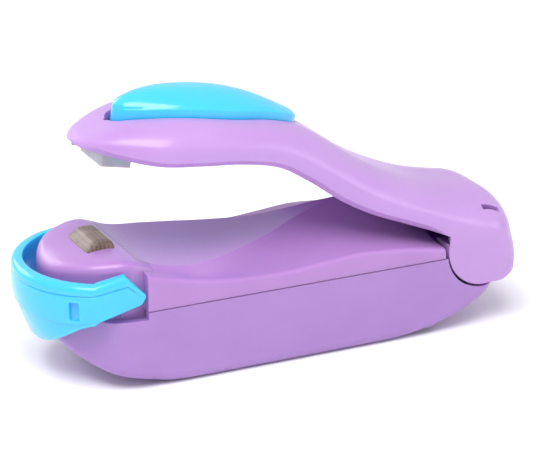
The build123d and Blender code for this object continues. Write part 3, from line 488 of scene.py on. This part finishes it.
LILAC = (0.37, 0.205, 0.50)
LILAC_DEEP = (0.34, 0.185, 0.47)
# the arm's lilac is the base's lilac plastic made lighter: painted light, for the brighter light on its top
PAINTED_LIGHT_ARM_LILAC = (0.47, 0.275, 0.59)
PAINTED_LIGHT_ARM_LILAC_DEEP = (0.44, 0.25, 0.56)
# the deck's lilac is the base's lilac plastic made lighter and deeper: painted light, for the light on its
# scoop and the colour bounced into it
PAINTED_LIGHT_DECK_LILAC = (0.42, 0.22, 0.52)
PAINTED_LIGHT_DECK_LILAC_DEEP = (0.39, 0.20, 0.49)
BLUE = (0.05, 0.53, 0.92)
BLUE_DEEP = (0.04, 0.49, 0.89)
LOOKS = {
    "base_plastic": plastic("base_plastic", LILAC, LILAC_DEEP, reach=(1.0, 0.4, 1.2)),
    # the deck's look is lighter and deeper than the base's: painted light
    "deck_plastic": plastic("deck_plastic", PAINTED_LIGHT_DECK_LILAC, PAINTED_LIGHT_DECK_LILAC_DEEP, reach=(1.4, 0.4, 1.2)),
    # the arm's look is lighter than the base's: painted light
    "arm_plastic": plastic("arm_plastic", PAINTED_LIGHT_ARM_LILAC, PAINTED_LIGHT_ARM_LILAC_DEEP, reach=(1.0, 0.4, 1.2)),
    "blue_plastic": plastic("blue_plastic", BLUE, BLUE_DEEP, 0.22, 0.3, 0.3, (0.2, 0.8, 1.2)),
    "black_plastic": matt("black_plastic", (0.02, 0.02, 0.022), (0.03, 0.03, 0.033)),
    "silicone": rubber("silicone"),
    "cloth": fabric("cloth"),
    "ceramic": matt("ceramic", (0.68, 0.65, 0.6), (0.58, 0.55, 0.5), 0.6),
    "strip_metal": metal("strip_metal", (0.55, 0.52, 0.48), (0.4, 0.36, 0.33), 0.35, (0.2, 3, 1)),
    "brass": metal("brass", (0.72, 0.5, 0.2), (0.6, 0.4, 0.15), 0.3),
    "spring_steel": metal("spring_steel", (0.66, 0.66, 0.67), (0.52, 0.52, 0.54), 0.25, (2, 0.4, 1)),
    "screw_steel": metal("screw_steel", (0.58, 0.58, 0.6), (0.42, 0.42, 0.45), 0.3),
    "cell_jacket": jacket("cell_jacket"),
    "lead_red": matt("lead_red", (0.5, 0.02, 0.015), (0.4, 0.015, 0.01), 0.4),
    "lead_black": matt("lead_black", (0.015, 0.015, 0.016), (0.025, 0.025, 0.026), 0.4),
}

# every CAD node takes its slot's look
for part in frame["record"]["subparts"]:
    node = frame["nodes"][part["node"]]
    node.data.materials.clear()
    node.data.materials.append(LOOKS[part["material_slot"]])

# ---------------------------------------------------------------- arm

LIP = 1.2
LIP_SHARE = 0.35
KNEE_SHARE = 0.2
SHOULDER = 0.5
LIP_END = -9.3
LIP_FADE = 5
PAD_GAP = 0.45
PAD_FRONT_GAP = 1.2
HOLE_FRONT = PAD[0][0] - PAD_GAP - PAD_FRONT_GAP
HOLE_BACK = PAD[-1][0] + PAD_GAP
EAR_RIM = 0.02
EAR_KNEE = EAR_R - EAR_RIM
EAR_END_ANGLE = -75
BACK_TOP_HALF = ARM[-1][4]
BACK_KNEE = LIP + KNEE_SHARE * BACK_R
LANYARD_UP = 9.3
LANYARD_END_ANGLE = 61
DISC_ANGLE = -80
DISC_RIM = 8
MIDDLE = 0.25

# points in one side of a section: the upright side, the shoulder, and the top with the pad's opening
SIDE_STEPS = 3
SHOULDER_STEPS = 14
PAD_STEPS = 8
HALF_STEPS = SIDE_STEPS + SHOULDER_STEPS + PAD_STEPS
CURVE_STEPS = 40


def shoulder_curve(half, knee, top_half, top):
    """The rounded shoulder, from the side's knee up to the flat top."""
    bend_up = knee + SHOULDER * (top - knee)
    bend_out = top_half + SHOULDER * (half - top_half)
    return bezier((half, knee), (half, bend_up), (bend_out, top), (top_half, top), CURVE_STEPS)


def arm_half(along, tuck, split, foot=None):
    """One side of the arm's outline, from its foot to its middle, with a point at the half-width split."""
    low, top, half, top_half = row_at(ARM, along)
    foot = low if foot is None else foot
    lip = min(LIP, LIP_SHARE * (top - low))
    knee = low + lip + KNEE_SHARE * (top - low)
    tuck = min(tuck, lip)
    side = [(half - tuck, foot), (half, foot + tuck), (half, (foot + tuck + knee) / 2)]
    curve = shoulder_curve(half, knee, top_half, top) + [(0.0, top)]
    outer, inner = split_curve(curve, min(split, 0.9 * half))
    return side + resample(outer, SHOULDER_STEPS) + resample(inner, PAD_STEPS)[1:]


def hole_half(along):
    """The pad opening's half-width: the pad's own, a little wider, and reaching further forward."""
    forward = min(max((PAD[3][0] - along) / 8, 0), 1)
    return row_at(PAD, along + PAD_FRONT_GAP * forward)[0] + PAD_GAP


def arm_stations():
    """Where the arm's sections stand: close together at its tip and at both ends of the pad's opening."""
    tip = [-99.8, -99.7, -99.4, -99.0, -98.6, -98.2]
    before_pad = spread(-97.6, HOLE_FRONT - 0.6, 7) + [HOLE_FRONT - 0.2]
    pad = spread(HOLE_FRONT, -90.4, 8) + spread(-90.0, -47.0, 56) + [-46.4, -45.9]
    pad_end = [PAD[-1][0], HOLE_BACK, HOLE_BACK + 0.3]
    return tip + before_pad + pad + pad_end + spread(-44.6, -14.0, 28) + spread(-13.0, LIP_END, 5)


def arm_rings():
    """The arm's sections from its tip to the hinge, and for each whether the pad's opening crosses it."""
    rings = []
    hole = []
    for along in arm_stations():
        # the lip fades out where the arm meets its ear
        tuck = LIP * min(1, max(0, (LIP_END - along) / LIP_FADE))
        width = hole_half(along) if HOLE_FRONT < along < HOLE_BACK else MIDDLE
        rings.append([in_arm(along, y, up) for y, up in both_sides(arm_half(along, tuck, width))])
        hole.append(HOLE_FRONT - 0.01 <= along <= HOLE_BACK + 0.01)
    # above the ear, a section stands wherever a column of the ear meets the arm's foot
    for share in (1.0, 0.7, 0.35):
        along = -share * EAR_KNEE
        rings.append([in_arm(along, y, up) for y, up in both_sides(arm_half(along, 0, MIDDLE, 0.0))])
        hole.append(False)
    return rings, hole


def back_outline():
    """The arm's back end from the side, from its top round to the front of the ear."""
    low = polar(BACK_R + BACK_SWELL / 2, -24)
    points = through((0, BACK_R), polar(BACK_R + BACK_SWELL, 33), low, 30)
    end = polar(EAR_R, EAR_END_ANGLE)
    reach = 3.3
    one = (low[0] - reach * cos(radians(66)), low[1] - reach * sin(radians(66)))
    two = (end[0] + reach * cos(radians(15)), end[1] + reach * sin(radians(15)))
    points += bezier(low, one, two, end, 12)[1:]
    return points + arc((0, 0), EAR_R, EAR_END_ANGLE, -180, 24)[1:]


def hinge_angle(along, up):
    """The angle about the hinge in degrees: 90 at the top, less behind it, and -180 at the ear's front."""
    angle = degrees(atan2(up, along))
    return angle - 360 if angle > 90.5 else angle


def back_half(along, up):
    """One side of the back end's section through a point, as (half-width, distance from the hinge)."""
    radius = hypot(along, up)
    # the shoulder sharpens from the arm's round one to the ear's square rim
    share = min(max((25 - hinge_angle(along, up)) / 80, 0), 1)
    blend = share * share * (3 - 2 * share)
    top_half = BACK_TOP_HALF + (HALF_WIDTH - EAR_RIM - BACK_TOP_HALF) * blend
    knee = radius - (BACK_R - BACK_KNEE) * (1 - blend) - EAR_RIM * blend
    half = [(HALF_WIDTH, 0.0), (HALF_WIDTH, 0.35 * knee), (HALF_WIDTH, 0.7 * knee)]
    half += resample(shoulder_curve(HALF_WIDTH, knee, top_half, radius) + [(MIDDLE, radius)], SHOULDER_STEPS)
    return half + resample([(MIDDLE, radius), (0.0, radius)], PAD_STEPS)[1:]


def back_ring(along, up):
    """The back end's section through a point, no wider than the arm is there."""
    radius = hypot(along, up)
    ring = []
    for y, rho in both_sides(back_half(along, up)):
        limit = row_at(ARM, rho * along / radius)[2]
        ring.append(in_arm(rho * along / radius, min(max(y, -limit), limit), rho * up / radius))
    return ring


def build_arm():
    """The arm: a skin of sections, with the pad's opening, the lanyard slot and the ears' open insides."""
    rings, hole = arm_rings()
    fan_from = len(rings)
    outline = back_outline()
    rings += [back_ring(along, up) for along, up in outline]
    hole += [False] * len(outline)
    angles = [hinge_angle(along, up) for along, up in outline]
    slot_end = next(k for k, angle in enumerate(angles) if angle < LANYARD_END_ANGLE)
    disc_from = fan_from + next(k for k, angle in enumerate(angles) if angle < DISC_ANGLE)
    half = back_half(*outline[slot_end])
    shoulder = range(SIDE_STEPS, SIDE_STEPS + SHOULDER_STEPS)
    slot_column = min(shoulder, key=lambda m: abs(half[m][1] + half[m + 1][1] - 2 * LANYARD_UP))
    columns = 2 * HALF_STEPS
    hole_from = HALF_STEPS - PAD_STEPS

    def skip(i, j):
        in_slot = fan_from <= i < fan_from + slot_end and j == slot_column
        in_hole = hole[i] and hole[i + 1] and hole_from <= j < columns - hole_from
        between_ears = i >= disc_from and DISC_RIM <= j < columns - DISC_RIM
        return in_slot or in_hole or between_ears

    points, faces = grid(rings, skip=skip, caps=1)
    arm = make("arm", points, faces)
    thicken(arm)
    bake(arm)
    finish_piece(arm, "arm", "arm_plastic", LOOKS["arm_plastic"], "arm_shell")


build_arm()

# ---------------------------------------------------------------- press pad

PAD_LOW = 18.8
PAD_WALL = 1.2
PAD_SHARP = 38


def pad_half(along):
    """One side of the pad's outline: an upright skirt, a soft edge, and a crown on a circle."""
    half, edge, crown = row_at(PAD, along)
    half = max(half, 0.15)
    rise = max(crown - edge, 0.05)
    soft = min(half, 1)
    side = [(half, PAD_LOW), (half, edge - 1.5), (half, edge - 0.3)]
    side += [(half - 0.05 * soft, edge - 0.1), (half - 0.22 * soft, edge)]
    radius = (half**2 + rise**2) / (2 * rise)
    for share in (0.93, 0.84, 0.72, 0.6, 0.48, 0.36, 0.24, 0.12, 0.0):
        side.append((half * share, crown - radius + sqrt(radius**2 - (half * share) ** 2)))
    return side


def build_pad():
    front = [-90.6, -90.55, -90.4, -90.1, -89.6]
    back = [-46.8, -46.3, -45.9, -45.7, -45.6]
    rings = []
    for along in front + spread(-89.0, -47.4, 48) + back:
        rings.append([in_arm(along, y, up) for y, up in both_sides(pad_half(along))])
    points, faces = grid(rings, caps=2)
    pad = make("press_pad_skin", points, faces)
    thicken(pad, PAD_WALL)
    bake(pad, PAD_SHARP)
    finish_piece(pad, "press_pad", "blue_plastic", LOOKS["blue_plastic"], "press_pad")


build_pad()

# ---------------------------------------------------------------- deck and nose

RIM_R = 1.1
RIM_STEPS = 7
# the shadow gap above the seam, as (inwards, upwards)
SEAM_GAP = [(0.3, 0.02), (0.3, 0.12), (0.04, 0.24), (0.0, 0.4)]
SIDE_THIRDS = (1, 2)
# the slot that the switch plunger goes down into
SLOT = (23.3, 30.7)
SLOT_HALF = 4.0
COVE_STEPS = (14, 8)
SLOT_COLUMN = len(SEAM_GAP) + len(SIDE_THIRDS) + RIM_STEPS + COVE_STEPS[0]
NOSE_EDGE_R = 1.8
NOSE_EDGE_STEPS = 6
NOSE_STEPS = 48
NOSE_STRAIGHT = (1.3, 2.6, 3.9)
NOSE_FOOT = 16.48
NOSE_FLANGE = 0.068


def deck_half(x):
    """One side of the deck's outline: the seam's gap, the side, the rounded rim, the cove and the scoop."""
    rim, scoop, top = row_at(DECK, x)
    scoop = max(scoop, 0.6)
    side = [(HALF_WIDTH - inwards, SEAM_Z + upwards) for inwards, upwards in SEAM_GAP]
    side += [(HALF_WIDTH, SEAM_Z + (rim - RIM_R - SEAM_Z) * k / 3) for k in SIDE_THIRDS]
    side += arc((HALF_WIDTH - RIM_R, rim - RIM_R), RIM_R, 0, 84, RIM_STEPS)
    start = (HALF_WIDTH - RIM_R, rim)
    bend = ((scoop + HALF_WIDTH) / 2, rim + 0.15)
    cove = bezier(start, bend, (scoop + 1.6, top - 1.2), (scoop, top), CURVE_STEPS)
    outer, inner = split_curve(cove, max(SLOT_HALF, scoop + 0.5))
    side += resample(outer, COVE_STEPS[0])[1:]
    side += resample(inner, COVE_STEPS[1])[1:-1]
    side.append((scoop, top))
    dip = 0.03 * scoop * min(max((x - STEP_X) / 10, 0), 1)
    for share in (0.93, 0.8, 0.6, 0.4, 0.2, 0.0):
        side.append((scoop * share, top - dip * (1 - share * share)))
    return side


def build_deck():
    stations = spread(STEP_X, 23.0, 78) + spread(SLOT[0], SLOT[1], 10) + spread(31.0, 38.4, 10)
    rings = [[(x, y, z) for y, z in both_sides(deck_half(x))] for x in stations]

    def skip(i, j):
        in_slot = SLOT[0] - 0.01 < stations[i] < SLOT[1] - 0.01
        return in_slot and SLOT_COLUMN <= j < len(rings[0]) - 1 - SLOT_COLUMN

    points, faces = grid(rings, skip=skip, caps=2)
    deck = make("deck", points, faces)
    thicken(deck)
    bake(deck)
    return deck


def nose_path():
    """The nose's outline as (direction, distance back): a straight side, the round front, a straight side."""
    path = [((0, -1), back) for back in reversed(NOSE_STRAIGHT)]
    for k in range(NOSE_STEPS + 1):
        angle = radians(-90 + 180 * k / NOSE_STEPS)
        path.append(((-cos(angle), sin(angle)), 0))
    return path + [((0, 1), back) for back in NOSE_STRAIGHT]


def nose_point(direction, back, inset=0.0, drop=0.0):
    """A point of the nose, inset from its edge and dropped below its roof."""
    x = NOSE_X + direction[0] * (NOSE_R - inset) + back
    y = direction[1] * (NOSE_R - inset)
    return (x, y, row_at(NOSE_TOP, x)[0] - drop)


def build_nose():
    path = nose_path()
    rings = []
    # a flange at its foot closes the gap to the deck's sides
    for widening in (NOSE_FLANGE, 0):
        ring = []
        for direction, back in path:
            x, y, _ = nose_point(direction, back)
            ring.append((x, y * (1 + widening * min(max((x + 41.5) / 5, 0), 1)), NOSE_FOOT))
        rings.append(ring)
    for height in (SEAM_Z, 20.5, 23.0, 24.2):
        rings.append([(*nose_point(direction, back)[:2], height) for direction, back in path])
    for k in range(NOSE_EDGE_STEPS + 1):
        angle = radians(90 * k / NOSE_EDGE_STEPS)
        inset = NOSE_EDGE_R * (1 - cos(angle))
        drop = NOSE_EDGE_R * (1 - sin(angle))
        rings.append([nose_point(direction, back, inset, drop) for direction, back in path])
    for share in (0.8, 0.6, 0.4, 0.2, 0.08, 0.0):
        inset = min(NOSE_EDGE_R + (NOSE_R - NOSE_EDGE_R) * (1 - share), NOSE_R)
        rings.append([nose_point(direction, back, inset) for direction, back in path])
    points, faces = grid(rings)
    nose = make("nose", points, faces)
    thicken(nose)
    bake(nose)
    return nose


def build_deck_and_nose():
    deck = build_deck()
    nose = build_nose()
    bpy.ops.object.select_all(action="DESELECT")
    deck.select_set(True)
    nose.select_set(True)
    bpy.context.view_layer.objects.active = deck
    bpy.ops.object.join()
    deck.name = "deck_and_nose"
    finish_piece(deck, "base", "deck_plastic", LOOKS["deck_plastic"], "base_upper_shell")


build_deck_and_nose()

# ---------------------------------------------------------------- heater cloth

CLOTH_HALF = 6.0
CLOTH_REACH = 3.5
CLOTH_RIDGE = JAW_X - 0.7
CLOTH_TOP = 31.45
CLOTH_FOOT = 28.4
CLOTH_END_R = 1.2
CLOTH_WALL = 0.3
CLOTH_SHARP = 50


def cloth_section(y):
    """The cloth's outline at y: up its front, over the ridge and down its back, rounded off at its ends."""
    inset = max(0, abs(y) - (CLOTH_HALF - CLOTH_END_R))
    round_off = CLOTH_END_R - sqrt(max(0, CLOTH_END_R**2 - inset * inset))
    roof = CLOTH_TOP - round_off * 0.9
    f = JAW_X - CLOTH_REACH + round_off * 0.3
    b = JAW_X + CLOTH_REACH - round_off * 0.3
    ridge = CLOTH_RIDGE
    section = [(f, CLOTH_FOOT), (f, 28.9)]
    section += bezier((f, 29.0), (f, 29.4), (f + 0.4, 29.7), (f + 1.0, 30.1), 5)
    section += [(f + 1.9, roof - 0.5)]
    section += bezier((ridge - 0.4, roof - 0.14), (ridge, roof), (ridge + 0.3, roof), (ridge + 0.6, roof), 4)
    section += [(b - 2.0, roof)]
    section += bezier((b - 1.6, roof), (b - 0.7, roof - 0.05), (b - 0.2, roof - 0.8), (b, roof - 1.8), 6)
    section += [(b, 29.0), (b, CLOTH_FOOT)]
    return [(x, y, min(z, roof)) for x, z in section]


def build_cloth():
    end = [5.0, 5.5, 5.8, 5.95, CLOTH_HALF]
    columns = [-y for y in reversed(end)] + spread(-4.4, 4.4, 10) + end
    points, faces = grid([cloth_section(y) for y in columns], caps=2)
    cloth = make("heater_cloth_skin", points, faces)
    thicken(cloth, CLOTH_WALL)
    bake(cloth, CLOTH_SHARP)
    finish_piece(cloth, "base", "cloth", LOOKS["cloth"], "heater_cloth")


build_cloth()

# ---------------------------------------------------------------- safety lock

# height, distance out from the nose's centre
LOCK_OUT = [(9.4, 18.6), (15.0, 20.9), (21.0, 22.0), (25.0, 21.9)]
LOCK_IN = [(9.4, 16.9), (15.0, 18.6), (21.0, 19.2), (26.4, 19.2)]
# sideways, height of the lower edge: a tongue that hangs from the belt
TONGUE = [
    (0.0, 9.4),
    (4.0, 9.62),
    (8.0, 10.5),
    (12.5, 12.6),
    (15.4, 14.6),
    (17.0, 15.9),
    (19.0, 17.0),
    (22.1, 17.4),
]
LOCK_R = 22
LOCK_TOP = 26.4
LOCK_EDGE_R = 1.5
LOCK_EDGE_STEPS = 5
LOCK_SHARP = 30
BELT_Z = 17.3
BELT_STEP = 0.35
GROOVE_Z = 23.9
GROOVE_HALF = 0.16
GROOVE_DEPTH = 0.28
ROOT_ANGLE = 59.6
RING_STEPS = 72
ARM_IN = 16.45
BEND_X = -41
TIP_FROM = -39.8
WINDOW_ANGLE = 47.8
WINDOW_OUT = 22.3
WINDOW_Z = 20.45
WINDOW_SIZE = (3.0, 2.3, 4.3)


def lock_section(low, high, out, inner, groove):
    """The lock's closed outline, up its outside and down its inside, as (distance out, height)."""
    belt = max(BELT_Z, low + 1.4)
    step = BELT_STEP * min(max((BELT_Z - low) / 2, 0), 1)
    loop = [(out(low + 0.5) - 0.02 - step, low + 0.5)]
    loop += [(out(z) - step, z) for z in spread(low + 1.0, belt - 0.16, 3)]
    loop += [(out(z), z) for z in spread(belt, groove - 0.35, 4)]
    loop += [(out(groove) - 0.02, groove - GROOVE_HALF), (out(groove) - GROOVE_DEPTH, groove)]
    loop += [(out(groove) - 0.02, groove + GROOVE_HALF), (out(groove), groove + 0.4)]
    loop += arc((out(high) - LOCK_EDGE_R, high - LOCK_EDGE_R), LOCK_EDGE_R, 0, 90, LOCK_EDGE_STEPS)
    top_in = inner(high)
    loop += [(top_in + 0.3, high), (top_in + 0.08, high - 0.08), (top_in, high - 0.3)]
    loop += [(inner(z), z) for z in reversed(spread(low + 0.5, high - 1.2, 7))]
    middle = (out(low) + inner(low)) / 2
    loop += [(inner(low) + 0.15, low + 0.15), (middle, low), (out(low) - 0.15 - step, low + 0.15)]
    return loop


def ring_section(angle):
    """The section of the lock's round front at this angle from the middle."""
    low = row_at(TONGUE, abs(LOCK_R * sin(angle)))[0]
    blend = min(1, abs(degrees(angle)) / ROOT_ANGLE)
    groove = GROOVE_Z + 0.9 * max(0, blend - 0.5) ** 1.5
    high = LOCK_TOP + 0.1 * max(0, blend - 0.6)
    loop = lock_section(low, high, lambda z: row_at(LOCK_OUT, z)[0], lambda z: row_at(LOCK_IN, z)[0], groove)
    return [(NOSE_X - r * cos(angle), r * sin(angle), z) for r, z in loop]


def arm_high(x):
    """The upper edge of the lock's straight arm: it rises, then slants down to its tip."""
    return 26.45 + (x + 48.9) * 1.15 / 7.9 if x < BEND_X else 27.6 - (x - BEND_X) * 1.08


def arm_low(x):
    """The lower edge of the lock's straight arm."""
    return 17.4 + (x + 49.4) * 0.25 if x < -37.6 else 20.35 + (x + 37.6) * 1.6


def arm_sections():
    """The sections of the lock's straight arm at +y, from the ring to the arm's tip."""
    rings = []
    for x in (-47.6, -46.5, -45.0, -43.5, -42.2, -41.3, BEND_X, -40.7, TIP_FROM):
        groove = min(24.2 + (x + 48.9) * 0.12, arm_high(x) - 2.1)
        loop = lock_section(arm_low(x), arm_high(x), lambda z: HALF_WIDTH, lambda z: ARM_IN, groove)
        rings.append([(x, y, z) for y, z in loop])
    # the tip repeats the last section without its groove, squeezed between the two edges
    low, high = arm_low(TIP_FROM), arm_high(TIP_FROM)
    tip = [(HALF_WIDTH if 18.6 < y and low + 3 < z < high - 1.6 else y, z) for y, z in loop]
    for x in (-38.8, -38.0, -37.6, -37.2, -36.9, -36.65):
        squeeze = (arm_high(x) - arm_low(x)) / (high - low)
        rings.append([(x, y, arm_low(x) + (z - low) * squeeze) for y, z in tip])
    return rings


def build_lock():
    """The lock: a ring round the nose with an arm on each side, and a blind window beside each arm."""
    front = [ring_section(radians(angle)) for angle in spread(-ROOT_ANGLE, ROOT_ANGLE, RING_STEPS)]
    far = arm_sections()
    near = [[(x, -y, z) for x, y, z in ring] for ring in reversed(far)]
    points, faces = grid(near + front + far, closed=True, caps=2)
    lock = make("lock", points, faces)
    bake(lock, LOCK_SHARP)
    windows = []
    for side in (1, -1):
        angle = radians(side * WINDOW_ANGLE)
        centre = (NOSE_X - WINDOW_OUT * cos(angle), WINDOW_OUT * sin(angle), WINDOW_Z)
        windows.append(block("window", centre, WINDOW_SIZE, 0.25, Matrix.Rotation(-angle, 4, "Z")))
    cut(lock, *windows)
    finish_piece(lock, "lock", "blue_plastic", LOOKS["blue_plastic"], "safety_lock")


build_lock()

# ---------------------------------------------------------------- room, light and camera

FLOOR_SIZE = (6000, 6000, 10)
FLOOR_Z = -5.02
FLOOR_LIGHT = (0.93, 0.93, 0.94)
FLOOR_DEEP = (0.90, 0.90, 0.92)
SKY = (0.95, 0.97, 1.0, 1)
SKY_STRENGTH = 0.72
# the camera, in degrees, metres and millimetres of lens
AZIMUTH = radians(-25.4)
ELEVATION = radians(20.97)
DISTANCE = 0.5629
TARGET = Vector((0.00151, 0, 0.02332))
LENS = 164.6


def softbox(name, place, aim, size, power):
    """A rectangular lamp at a place, aimed at a point, with its size in metres and its power in watts."""
    light = bpy.data.lights.new(name, "AREA")
    light.shape = "RECTANGLE"
    light.size, light.size_y = size
    light.energy = power
    obj = bpy.data.objects.new(name, light)
    bpy.context.scene.collection.objects.link(obj)
    obj.location = place
    obj.rotation_euler = (Vector(aim) - Vector(place)).to_track_quat("-Z", "Y").to_euler()


floor = block("floor", (0, 0, FLOOR_Z), FLOOR_SIZE, 1.0)
ground = Look("floor")
shade = ground.ramp(ground.noise(6, 3.0), (0.3, FLOOR_LIGHT), (0.7, FLOOR_DEEP))
ground.link(shade, ground.shader.inputs["Base Color"])
ground.set(Roughness=0.7)
ground.bump(ground.noise(300, 3.0), 1e-5)
floor.data.materials.append(ground.material)

world = bpy.data.worlds.new("studio")
bpy.context.scene.world = world
world.use_nodes = True
world.node_tree.nodes["Background"].inputs["Color"].default_value = SKY
world.node_tree.nodes["Background"].inputs["Strength"].default_value = SKY_STRENGTH

softbox("key", (-0.25, -0.30, 0.75), (0, 0, 0.02), (0.6, 0.45), 6.0)
softbox("fill", (0.7, -0.5, 0.35), (0, 0, 0.03), (0.4, 0.4), 1.2)
softbox("back", (-0.30, 0.60, 0.34), (-0.01, 0, 0.03), (0.5, 0.3), 1.6)

camera_data = bpy.data.cameras.new("camera")
camera = bpy.data.objects.new("camera", camera_data)
bpy.context.scene.collection.objects.link(camera)
back_way = Vector((sin(AZIMUTH) * cos(ELEVATION), -cos(AZIMUTH) * cos(ELEVATION), sin(ELEVATION)))
camera.location = TARGET + back_way * DISTANCE
camera.rotation_euler = back_way.to_track_quat("Z", "Y").to_euler()
camera_data.lens = LENS
camera_data.clip_start = 0.01
bpy.context.scene.camera = camera
bpy.context.scene.view_settings.view_transform = "Standard"
